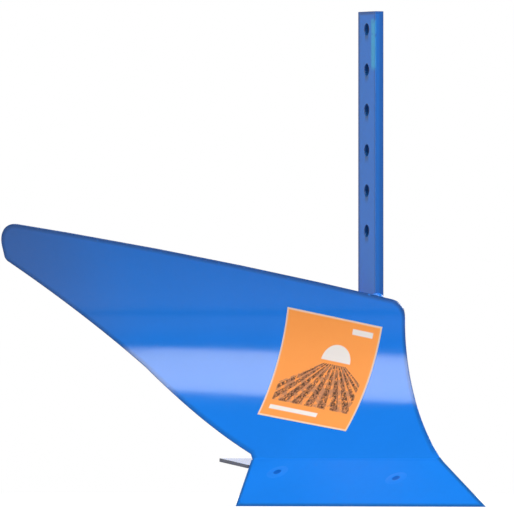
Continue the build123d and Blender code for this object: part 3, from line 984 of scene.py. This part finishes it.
@dataclass
class Mouldboard:
    """The rolled sheet with a rounded rim, cut fine enough to mirror the light in one clean band.

    The shade is painted shade along the rim, which is at its full strength from one height up.
    """

    roll: Roll
    rounding: float = 1.2 * MM
    rounding_faces: int = 4
    least_side: float = 0.6 * MM
    straight: float = math.radians(0.5)
    front_clear: float = 16 * MM
    low_corner: float = 8 * MM
    shade_width: float = 4.6 * MM
    shade_start: float = 0.9
    shade_low: float = 0.65
    shade_full: float = 200 * MM
    angle_step: float = math.radians(2.5)
    run_step: float = 14 * MM
    cut_snap: float = 0.05 * MM
    working_gap: float = 0.1 * MM
    flush_gap: float = 0.01 * MM

    def build(self, shop: Workshop) -> None:
        """Makes the sheet flat, then rolls it and ties it to the frame.

        Args:
            shop: Where the piece goes.
        """
        shape = self._blank(shop.nodes["mouldboard"])
        self._thicken(shape)
        self._shade(shape)
        self._divide(shape)
        for corner in shape.verts:
            corner.co.x = self.roll.behind_wall(*corner.co)
            corner.co = self.roll.rolled(*corner.co)
        bmesh.ops.dissolve_degenerate(shape, dist=LEAST_EDGE, edges=shape.edges)
        face_outward(shape)
        mesh = shop.add("mouldboard_sheet", shape, "sheet_enamel", Slot.PAINT, "mouldboard").data
        mesh.normals_split_custom_set_from_vertices([self._normal(corner) for corner in mesh.vertices])

    def _blank(self, node: Object) -> BMesh:
        """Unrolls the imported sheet's working face.

        Args:
            node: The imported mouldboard.

        Returns:
            One flat face, with run and height as its first two coordinates.
        """
        shape = merged_copy(node)
        others = [face for face in shape.faces if not self._works(face)]
        bmesh.ops.delete(shape, geom=others, context="FACES")
        for corner in shape.verts:
            corner.co = self.roll.unrolled(corner.co)
        bmesh.ops.dissolve_faces(shape, faces=shape.faces, use_verts=False)
        bmesh.ops.remove_doubles(shape, verts=shape.verts, dist=self.least_side)
        bmesh.ops.dissolve_limit(shape, angle_limit=self.straight, verts=shape.verts, edges=shape.edges)
        front = min(shape.verts, key=lambda corner: corner.co.x)
        crowded = [v for v in shape.verts if v is not front and (v.co - front.co).length < self.front_clear]
        bmesh.ops.dissolve_verts(shape, verts=crowded)
        seam = min(shape.edges, key=lambda edge: sum(corner.co.y for corner in edge.verts))
        for made in bmesh.ops.bisect_edges(shape, edges=[seam], cuts=1)["geom_split"]:
            if isinstance(made, BMVert):
                made.co.x = self._seam_end()
        return shape

    def _works(self, face: BMFace) -> bool:
        """Whether a face belongs to the working side, on the inside of the roll."""
        off = (abs(self.roll.outward(corner.co).length - self.roll.radius) for corner in face.verts)
        return max(off) < self.working_gap

    def _seam_end(self) -> float:
        """The run where the joint with the share ends and the sheet's lower corner starts."""
        return self.roll.seam_run - self.low_corner

    @staticmethod
    def _sides(shape: BMesh) -> list[BMFace]:
        """The flat sheet's front and back."""
        return sorted(shape.faces, key=lambda face: len(face.verts))[-2:]

    def _thicken(self, shape: BMesh) -> None:
        """Gives the blank its thickness and rounded rims.

        Args:
            shape: The flat blank.
        """
        bmesh.ops.translate(shape, verts=extrude(shape), vec=(0, 0, self.roll.thickness))
        rims = [edge for side in self._sides(shape) for edge in side.edges]
        bevel(shape, rims, self.rounding, self.rounding_faces)

    def _shade(self, shape: BMesh) -> None:
        """Insets both sides and marks, in the "rim" layer, where shade is painted.

        Args:
            shape: The flat sheet.
        """
        rim = shape.verts.layers.float.new("rim")
        for corner in shape.verts:
            corner[rim] = 1.0
        sides = self._sides(shape)
        bmesh.ops.inset_region(shape, faces=sides, thickness=self.shade_width, use_even_offset=True)
        borders = {edge for side in sides for edge in side.edges}
        for inner in [corner for side in sides for corner in side.verts]:
            inner[rim] = 0.0
            for edge in inner.link_edges:
                if edge not in borders:
                    edge.other_vert(inner)[rim] = self.shade_start
        for corner in shape.verts:
            corner[rim] *= self._strength(*corner.co.xy)

    def _strength(self, run: float, height: float) -> float:
        """Strength of the painted shade on the rim: none along the joint, and less on the lower sheet.

        Args:
            run: Distance along the cutting edge from the tip.
            height: Height over the floor.

        Returns:
            The strength, from 0 to 1.
        """
        rise = height - self.roll.seam_height
        if rise < self.rounding + self.shade_width and run < self._seam_end() + self.rounding:
            return 0.0
        share = rise / (self.shade_full - self.roll.seam_height)
        return min(1.0, self.shade_low + (1.0 - self.shade_low) * share)

    def _divide(self, shape: BMesh) -> None:
        """Cuts the flat sheet into small cells.

        Args:
            shape: The flat sheet.
        """
        along, up = Vector((1, 0, 0)), Vector((0, 1, 0))
        planes = [(up * height, up) for height in self.roll.levels(self.angle_step)]
        cuts = int(max(corner.co.x for corner in shape.verts) / self.run_step)
        planes += [(along * (self.run_step * i), along) for i in range(1, cuts + 1)]
        for point, normal in planes:
            cut_through(shape, point, normal, dist=self.cut_snap)

    def _normal(self, corner: MeshVertex) -> Vector:
        """Normal at a corner: straight across the roll on both faces, and the mesh's own on the rim.

        Args:
            corner: A corner of the finished mesh.

        Returns:
            The normal.
        """
        out = self.roll.outward(corner.co)
        depth = out.length - self.roll.radius
        if abs(depth) < self.flush_gap:
            return -out.normalized()
        if abs(depth - self.roll.thickness) < self.flush_gap:
            return out.normalized()
        return corner.normal


@dataclass
class Seam:
    """Paint that fills the joint between the share and the mouldboard."""

    roll: Roll
    reach: float = 3.4 * MM
    sunk: float = 0.06 * MM
    raised: float = 0.1 * MM
    keel: float = 0.8 * MM
    end_gap: float = 1.5 * MM
    rounding: float = 3.06 * MM
    rounding_faces: int = 6

    def build(self, shop: Workshop) -> None:
        """Draws the fillet's section out along the joint, cuts it at the wall and ties it to the frame.

        Args:
            shop: Where the piece goes.
        """
        shape = bmesh.new()
        corners = [shape.verts.new(self.roll.point(0.0, *place)) for place in self._section()]
        shape.faces.new(corners)
        length = self.roll.seam_run - self.end_gap
        bmesh.ops.translate(shape, verts=extrude(shape), vec=self.roll.along * length)
        ridge = max(corners[1].link_edges, key=lambda edge: edge.calc_length())
        bevel(shape, [ridge], self.rounding, self.rounding_faces)
        rim = cut_through(shape, self.roll.tip, Vector((0, 1, 0)), clear_outer=True)
        bmesh.ops.contextual_create(shape, geom=rim)
        face_outward(shape)
        shop.add("seam_paint", shape, "share_enamel", Slot.PAINT, sharp=FOLD)

    def _section(self) -> list[Vector]:
        """Setback and height of the fillet's corners.

        Returns:
            Its corners on the share, over the joint, on the sheet and in the gap.
        """
        roll = self.roll
        joint = Vector((roll.seam_setback, roll.seam_height))
        slope = Vector((math.cos(roll.share_slope), math.sin(roll.share_slope)))
        out = Vector((-slope.y, slope.x))
        angle = math.asin((roll.seam_height - roll.axis_height) / roll.radius) + self.reach / roll.radius
        spoke = Vector((math.cos(angle), math.sin(angle))) * (roll.radius + self.sunk)
        on_sheet = Vector((roll.centre, roll.axis_height)) + spoke
        on_share = joint - slope * self.reach - out * self.sunk
        return [on_share, joint + out * self.raised, on_sheet, joint - out * self.keel]


class DarkFaces(Enum):
    """Which faces of a plate take its rim colour: painted shade, except on the brace, where it is bare cut
    steel.
    """

    EDGES = "rounded edges only"
    CUTS = "rounded edges and upright cuts"
    CORNERS = "rounded edges and upright corners, but not the one in front on the furrow side"

    def has(self, face: BMFace) -> bool:
        """Whether one more face of the plate is dark.

        Args:
            face: A face that isn't a rounded edge.

        Returns:
            True for a dark face.
        """
        normal = face.normal
        if self is DarkFaces.EDGES or abs(normal.z) >= UPRIGHT:
            return False
        corner = min(abs(normal.x), abs(normal.y)) > SKEW and not (normal.x > 0 > normal.y)
        return self is DarkFaces.CUTS or corner


@dataclass(frozen=True)
class Plate:
    """A flat piece of the frame: its node, its finish and how far its edges are rounded."""

    node: str
    finish: str
    slot: Slot
    rounding: float
    dark: DarkFaces = DarkFaces.EDGES


@dataclass
class Plates:
    """The bars, plates and screws, with their edges rounded."""

    pieces: tuple[Plate, ...] = (
        Plate("post", "post_enamel", Slot.PAINT, 0.7 * MM, DarkFaces.CORNERS),
        Plate("share", "share_enamel", Slot.PAINT, 0.35 * MM),
        Plate("share_seat", "bar_enamel", Slot.PAINT, 0.7 * MM),
        Plate("frog_plate", "bar_enamel", Slot.PAINT, 0.7 * MM),
        Plate("landside", "bar_enamel", Slot.PAINT, 0.7 * MM),
        Plate("rear_brace", "brace_enamel", Slot.PAINT, 0.4 * MM, DarkFaces.CUTS),
        Plate("wing_stay", "bar_enamel", Slot.PAINT, 0.6 * MM),
        Plate("share_screws", "screw_enamel", Slot.SCREW, 0.3 * MM),
        Plate("landside_screws", "screw_enamel", Slot.SCREW, 0.35 * MM),
    )
    sharp: float = math.radians(28.0)
    rounding_faces: int = 3
    recess_reach: float = 15 * MM
    recess_rays: int = 24
    ray_lift: float = 0.05 * MM

    def build(self, shop: Workshop) -> None:
        """Makes each piece and ties it to the frame.

        Args:
            shop: Where the pieces go.
        """
        for plate in self.pieces:
            shape = merged_copy(shop.nodes[plate.node])
            self._round(shape, plate)
            self._mark_recesses(shape)
            piece = shop.add(plate.node + "_rounded", shape, plate.finish, plate.slot, plate.node)
            piece.modifiers.new("flat_faces", "WEIGHTED_NORMAL").keep_sharp = True

    def _round(self, shape: BMesh, plate: Plate) -> None:
        """Rounds the sharp edges and marks them and the plate's other dark faces in the "rim" layer.

        Args:
            shape: The shape to change.
            plate: The plate that it becomes.
        """
        rim = shape.faces.layers.float.new("rim")
        corners = [edge for edge in shape.edges if len(edge.link_faces) == 2]
        sharp = [edge for edge in corners if edge.calc_face_angle(0.0) > self.sharp]
        for face in bevel(shape, sharp, plate.rounding, self.rounding_faces, slide=True):
            face[rim] = 1.0
        bmesh.ops.dissolve_degenerate(shape, dist=LEAST_EDGE, edges=shape.edges)
        for face in shape.faces:
            if plate.dark.has(face):
                face[rim] = 1.0

    def _mark_recesses(self, shape: BMesh) -> None:
        """Marks each face, in the "recess" layer, with the share of its outlook that its own shape blocks,
        for the painted shade of recesses.

        Args:
            shape: The shape to mark.
        """
        recess = shape.faces.layers.float.new("recess")
        walls = BVHTree.FromBMesh(shape)
        for face in shape.faces:
            start = face.calc_center_median() + face.normal * self.ray_lift
            aside = face.normal.orthogonal().normalized()
            blocked = 0
            for index in range(self.recess_rays):
                rise = (index + 0.5) / self.recess_rays
                turn = Quaternion(face.normal, index * GOLDEN_ANGLE)
                way = face.normal * rise + (turn @ aside) * math.sqrt(1 - rise**2)
                blocked += walls.ray_cast(start, way, self.recess_reach)[0] is not None
            face[recess] = blocked / self.recess_rays


@dataclass
class WeldRuns:
    """The weld beads, with the ripples that the arc leaves."""

    nodes: tuple[str, ...] = (
        "weld_post_mouldboard",
        "weld_post_frog",
        "weld_frog_mouldboard",
        "weld_seat_frog",
        "weld_seat_mouldboard",
        "weld_brace_frog",
        "weld_brace_mouldboard",
        "weld_wing_stay",
    )
    grain: float = 0.8 * MM
    smoothing: float = 0.5
    pitch: float = 3.2 * MM
    height: float = 0.32 * MM
    crescent: float = 0.55
    axis_rounds: int = 8

    def build(self, shop: Workshop) -> None:
        """Makes each weld and ties it to the frame.

        Args:
            shop: Where the pieces go.
        """
        for name in self.nodes:
            shape = self._even(shop.nodes[name])
            for bead in islands(shape):
                self._ripple(bead)
            shop.add(name + "_rippled", shape, "weld_enamel", Slot.WELD, name)

    def _even(self, node: Object) -> BMesh:
        """A smoothed copy of a node's beads, divided into even small faces.

        Args:
            node: A packed weld node.

        Returns:
            The copy.
        """
        helper = placed("even_bead", node.data.copy())
        modifier = helper.modifiers.new("even", "REMESH")
        modifier.mode = "VOXEL"
        modifier.voxel_size = self.grain
        bpy.context.view_layer.update()
        shape = bmesh.new()
        shape.from_object(helper, bpy.context.evaluated_depsgraph_get())
        bpy.data.meshes.remove(helper.data)
        axes = {"use_axis_x": True, "use_axis_y": True, "use_axis_z": True}
        bmesh.ops.smooth_vert(shape, verts=shape.verts, factor=self.smoothing, **axes)
        shape.normal_update()
        return shape

    def _ripple(self, bead: list[BMVert]) -> None:
        """Sinks a bead's corners in crescents along its length.

        Args:
            bead: The corners of one bead.
        """
        centre = sum((corner.co for corner in bead), Vector()) / len(bead)
        axis = self._axis([corner.co - centre for corner in bead])
        for corner in bead:
            offset = corner.co - centre
            along = offset.dot(axis)
            aside = (offset - axis * along).length
            phase = 2 * math.pi * (along + self.crescent * aside) / self.pitch
            corner.co -= corner.normal * (self.height * (1.0 - math.sin(phase)) / 2)

    def _axis(self, offsets: list[Vector]) -> Vector:
        """The direction in which a bead is longest.

        Args:
            offsets: Its corners, from their middle.

        Returns:
            The direction.
        """
        axis = max(offsets, key=lambda offset: offset.length).normalized()
        for _ in range(self.axis_rounds):
            axis = sum((offset * offset.dot(axis) for offset in offsets), Vector()).normalized()
        return axis


@dataclass
class ScrewPaint:
    """Paint that covers each share screw's head and leaves a dimple over its socket, with painted shade in
    the dimple.

    Its section is given by radius and height, from the middle out and back underneath.
    """

    roll: Roll
    section: tuple[tuple[float, float], ...] = (
        (0.0, 0.08 * MM),
        (2.4 * MM, 0.1 * MM),
        (3.9 * MM, 0.25 * MM),
        (5.2 * MM, 0.52 * MM),
        (6.8 * MM, 0.58 * MM),
        (9.6 * MM, 0.3 * MM),
        (12.0 * MM, 0.06 * MM),
        (13.0 * MM, -0.04 * MM),
        (0.0, -0.04 * MM),
    )
    dimple: float = 5.0 * MM
    steps: int = 48
    head_gap: float = 0.05 * MM

    def build(self, shop: Workshop) -> None:
        """Spins the paint of each screw and ties it to the frame.

        Args:
            shop: Where the pieces go.
        """
        out = self.roll.share_out()
        screws = merged_copy(shop.nodes["share_screws"])
        for index, screw in enumerate(islands(screws), 1):
            top = max(corner.co.dot(out) for corner in screw)
            head = [corner.co for corner in screw if corner.co.dot(out) > top - self.head_gap]
            centre = sum(head, Vector()) / len(head)
            centre -= out * (centre - self.roll.tip).dot(out)
            shop.add(f"screw_paint_{index}", self._spun(centre, out), "screw_enamel", Slot.PAINT, sharp=FOLD)
        screws.free()

    def _spun(self, centre: Vector, out: Vector) -> BMesh:
        """The paint of one screw.

        Args:
            centre: Middle of the screw's head, on the share's face.
            out: The way out of the share's face.

        Returns:
            The shape.
        """
        shape = bmesh.new()
        rim = shape.verts.layers.float.new("rim")
        corners = [shape.verts.new((radius, 0.0, height)) for radius, height in self.section]
        edges = [shape.edges.new(pair) for pair in zip(corners, corners[1:])]
        bmesh.ops.spin(
            shape,
            geom=[*corners, *edges],
            cent=(0, 0, 0),
            axis=(0, 0, 1),
            angle=2 * math.pi,
            steps=self.steps,
            use_merge=True,
        )
        bmesh.ops.remove_doubles(shape, verts=shape.verts, dist=ONE_PLACE)
        face_outward(shape)
        for corner in shape.verts:
            # painted shade in the dimple over the socket
            corner[rim] = float(corner.co.xy.length < self.dimple)
        place = Matrix.Translation(centre) @ out.to_track_quat("Z", "Y").to_matrix().to_4x4()
        bmesh.ops.transform(shape, matrix=place, verts=shape.verts)
        return shape


@dataclass
class Nuts:
    """The nuts and washers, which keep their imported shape."""

    nodes: tuple[str, ...] = ("share_washers", "share_nuts", "landside_washers", "landside_nuts")
    finish: str = "zinc_plate"

    def build(self, shop: Workshop) -> None:
        """Gives each node its plating.

        Args:
            shop: Where the nodes are.
        """
        for name in self.nodes:
            materials = shop.nodes[name].data.materials
            materials.clear()
            materials.append(shop.materials[self.finish])
            LOG.info("%s: %s", name, self.finish)


@dataclass
class Label:
    """The square film on the working face, with its middle at a run and a drop below the roll's axis."""

    roll: Roll
    side: float = 127 * MM
    run: float = 305.6 * MM
    drop: float = 57.6 * MM
    turn: float = math.radians(-10.3)
    glue: float = 0.05 * MM
    thickness: float = 0.25 * MM
    cells: int = 40

    def build(self, shop: Workshop) -> None:
        """Wraps a flat sheet on the roll and ties it to the frame.

        Args:
            shop: Where the piece goes.
        """
        shape = bmesh.new()
        shape.loops.layers.uv.new("film")
        cells = {"x_segments": self.cells, "y_segments": self.cells}
        bmesh.ops.create_grid(shape, **cells, size=self.side / 2, calc_uvs=True)
        bmesh.ops.rotate(shape, verts=shape.verts, cent=(0, 0, 0), matrix=Matrix.Rotation(self.turn, 3, "Z"))
        raised = set(extrude(shape))
        for corner in shape.verts:
            depth = self.glue + (self.thickness if corner in raised else 0.0)
            corner.co = self.roll.wrapped(self.run - corner.co.x, corner.co.y - self.drop, depth)
        face_outward(shape)
        shop.add("label_print", shape, "printed_film", Slot.FILM, "label", FOLD)


def sight(azimuth: float, elevation: float) -> Vector:
    """The way to a lamp or camera, in degrees round from the furrow side to the front and over the level."""
    around, above = math.radians(azimuth), math.radians(elevation)
    return Vector((math.sin(around) * math.cos(above), -math.cos(around) * math.cos(above), math.sin(above)))


@dataclass(frozen=True)
class SoftBox:
    """A soft lamp that stands off one point of the object and faces it, unless it is turned away.

    Azimuth 0 is the furrow side and 90 the front. The turn and the tilt are added to the lamp's own
    azimuth and elevation to say which way its back looks, and the lean turns it about that way.
    """

    name: str
    azimuth: float
    elevation: float
    distance: float
    width: float
    height: float
    radiance: float
    turn: float = 0.0
    tilt: float = 0.0
    lean: float = 0.0
    target: tuple[float, float, float] = (-0.07, -0.112, 0.144)

    def build(self) -> None:
        """Makes the lamp."""
        lamp = bpy.data.lights.new(self.name, "AREA")
        lamp.shape = "RECTANGLE"
        lamp.size = self.width
        lamp.size_y = self.height
        lamp.energy = self.radiance * math.pi * self.width * self.height
        stand = placed(self.name, lamp)
        back = sight(self.azimuth + self.turn, self.elevation + self.tilt)
        facing = back.to_track_quat("Z", "Y") @ Quaternion((0, 0, 1), math.radians(self.lean))
        place = Vector(self.target) + sight(self.azimuth, self.elevation) * self.distance
        stand.matrix_world = Matrix.Translation(place) @ facing.to_matrix().to_4x4()
        stand.visible_camera = False


@dataclass
class Studio:
    """The floor, the white surroundings, the lamps and the camera.

    The last seven fields are the camera's: where it stands from its aim, and what a pixel measures there.
    """

    floor_side: float = 8.0
    floor_colour: Colour = (0.45, 0.45, 0.45)
    floor_roughness: float = 0.9
    floor_mirror: float = 0.1
    floor_white: float = 0.66
    floor_rise: float = 0.3
    floor_fade: Fade = (0.6, 1.9)
    surround: float = 0.04
    gloss_share: float = 0.42
    gloss_fade: Fade = (0.28, 0.0)
    lamps: tuple[SoftBox, ...] = (
        SoftBox(
            "band_lamp",
            azimuth=-1.1,
            elevation=26.4,
            distance=2.0,
            width=1.15,
            height=0.678,
            radiance=5.2,
            turn=63.4,
            tilt=14.4,
            lean=8.8,
        ),
        SoftBox("key_lamp", azimuth=83.0, elevation=59.0, distance=1.7, width=1.5, height=1.5, radiance=4.1),
        SoftBox("fill_lamp", azimuth=62.0, elevation=10.0, distance=1.4, width=0.8, height=0.8, radiance=1.4),
        SoftBox(
            "rear_lamp", azimuth=205.0, elevation=32.0, distance=2.6, width=1.2, height=1.2, radiance=8.5
        ),
        SoftBox(
            "backdrop_lamp", azimuth=249.66, elevation=6.0, distance=3.0, width=2.4, height=0.9, radiance=0.9
        ),
    )
    azimuth: float = 69.66
    elevation: float = -0.395
    distance: float = 25.25
    nearest: float = 1.0
    aim: tuple[float, float, float] = (-0.00871, -0.14634, 0.27762)
    pixel: float = 1.1151 * MM
    sensor: float = 36.0

    def build(self) -> None:
        """Makes everything that isn't part of the object."""
        self._floor()
        self._surroundings()
        for lamp in self.lamps:
            lamp.build()
        self._camera()
        bpy.context.scene.view_settings.view_transform = "Standard"

    def _white_share(self, graph: Graph, gloss_level: Value) -> NodeSocket:
        """How much of the white surroundings a ray sees: all for the camera and glass, a part for gloss.

        Args:
            graph: The graph that asks.
            gloss_level: How bright the surroundings are for a mirrored ray.

        Returns:
            The share.
        """
        path = graph.add("LightPath").outputs
        gloss = graph.product(path["Is Glossy Ray"], gloss_level, self.gloss_share)
        return graph.math("MAXIMUM", path["Is Camera Ray"], path["Is Transmission Ray"], gloss)

    def _floor(self) -> None:
        """Makes the pale floor, which keeps the object's shadow."""
        shape = bmesh.new()
        bmesh.ops.create_grid(shape, x_segments=1, y_segments=1, size=self.floor_side / 2)
        floor = placed("floor", finished_mesh("floor", shape))
        material = bpy.data.materials.new("pale_floor")
        material.use_nodes = True
        graph = Graph(material.node_tree)
        x, y, _ = graph.place()
        far = graph.fade(graph.length(x, y), *self.floor_fade)
        white = graph.math("ADD", graph.product(far, self.floor_rise), self.floor_white)
        graph.feed(
            graph.tree.nodes["Principled BSDF"],
            Base_Color=self.floor_colour,
            Roughness=self.floor_roughness,
            Specular_IOR_Level=self.floor_mirror,
            Emission_Color=WHITE,
            Emission_Strength=graph.product(self._white_share(graph, 0.0), white),
        )
        floor.data.materials.append(material)

    def _surroundings(self) -> None:
        """Makes the white surroundings, which light the object only a little."""
        world = bpy.data.worlds.new("surroundings")
        bpy.context.scene.world = world
        world.use_nodes = True
        graph = Graph(world.node_tree)
        _, _, up = graph.split(graph.add("TexCoord").outputs["Generated"])
        share = self._white_share(graph, graph.fade(up, *self.gloss_fade))
        strength = graph.math("MAXIMUM", share, self.surround)
        graph.feed(graph.tree.nodes["Background"], Color=WHITE, Strength=strength)

    def _camera(self) -> None:
        """Makes the long-lens camera of the photograph's view."""
        back = sight(self.azimuth, self.elevation)
        data = bpy.data.cameras.new("camera")
        data.sensor_width = self.sensor
        data.lens = self.sensor * self.distance / (self.pixel * IMAGE_SIDE)
        data.clip_start = self.nearest
        data.clip_end = 2 * self.distance
        camera = placed("camera", data)
        camera.location = Vector(self.aim) + back * self.distance
        camera.rotation_mode = "QUATERNION"
        camera.rotation_quaternion = back.to_track_quat("Z", "Y")
        bpy.context.scene.camera = camera


def finishes(roll: Roll) -> dict[str, Material]:
    """Makes every finish once.

    Args:
        roll: The mouldboard's roll, which places the share's edges.

    Returns:
        The materials by name.
    """
    effects = Effects()
    made = (
        SheetEnamel("sheet_enamel"),
        PostEnamel("post_enamel", wave=0.1 * MM),
        Enamel("bar_enamel", wave=0.15 * MM, roughness=0.2, peel=0.02 * MM, recess_shade=0.75),
        ShareEnamel("share_enamel", roughness=0.36, mirror=0.06, roll=roll),
        # the brace's rims and cut faces take the grey of bare cut steel, which also serves as painted shade
        # in its recesses
        Enamel("brace_enamel", wave=0.0, rim_colour=(0.16, 0.17, 0.23), rim=1.0),
        # a little paler than the other enamel: painted highlight for the pale ring round each head; its rim
        # colour is painted shade in the dimples and sockets
        Enamel(
            "screw_enamel",
            colour=(0.018, 0.235, 0.87),
            rim_colour=(0.004, 0.115, 0.54),
            wave=0.0,
            roughness=0.36,
            mirror=0.1,
            recess_shade=1.0,
            rim=1.0,
        ),
        Enamel("weld_enamel", wave=0.0, roughness=0.2, peel=0.03 * MM, recess_shade=0.8, rim=0.0),
        ZincPlate(),
        PrintedFilm(),
    )
    return {finish.name: finish.make(effects) for finish in made}


def main() -> None:
    """Builds the object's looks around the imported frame, then the studio."""
    logging.basicConfig(level=logging.INFO, format="%(name)s: %(message)s")
    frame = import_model()
    roll = Roll()
    shop = Workshop(frame["nodes"], finishes(roll))
    bodies = (Mouldboard(roll), Plates())
    details = (Seam(roll), ScrewPaint(roll), WeldRuns(), Nuts(), Label(roll))
    for assembly in bodies + details:
        assembly.build(shop)
    Studio().build()


if __name__ == "__main__":
    main()
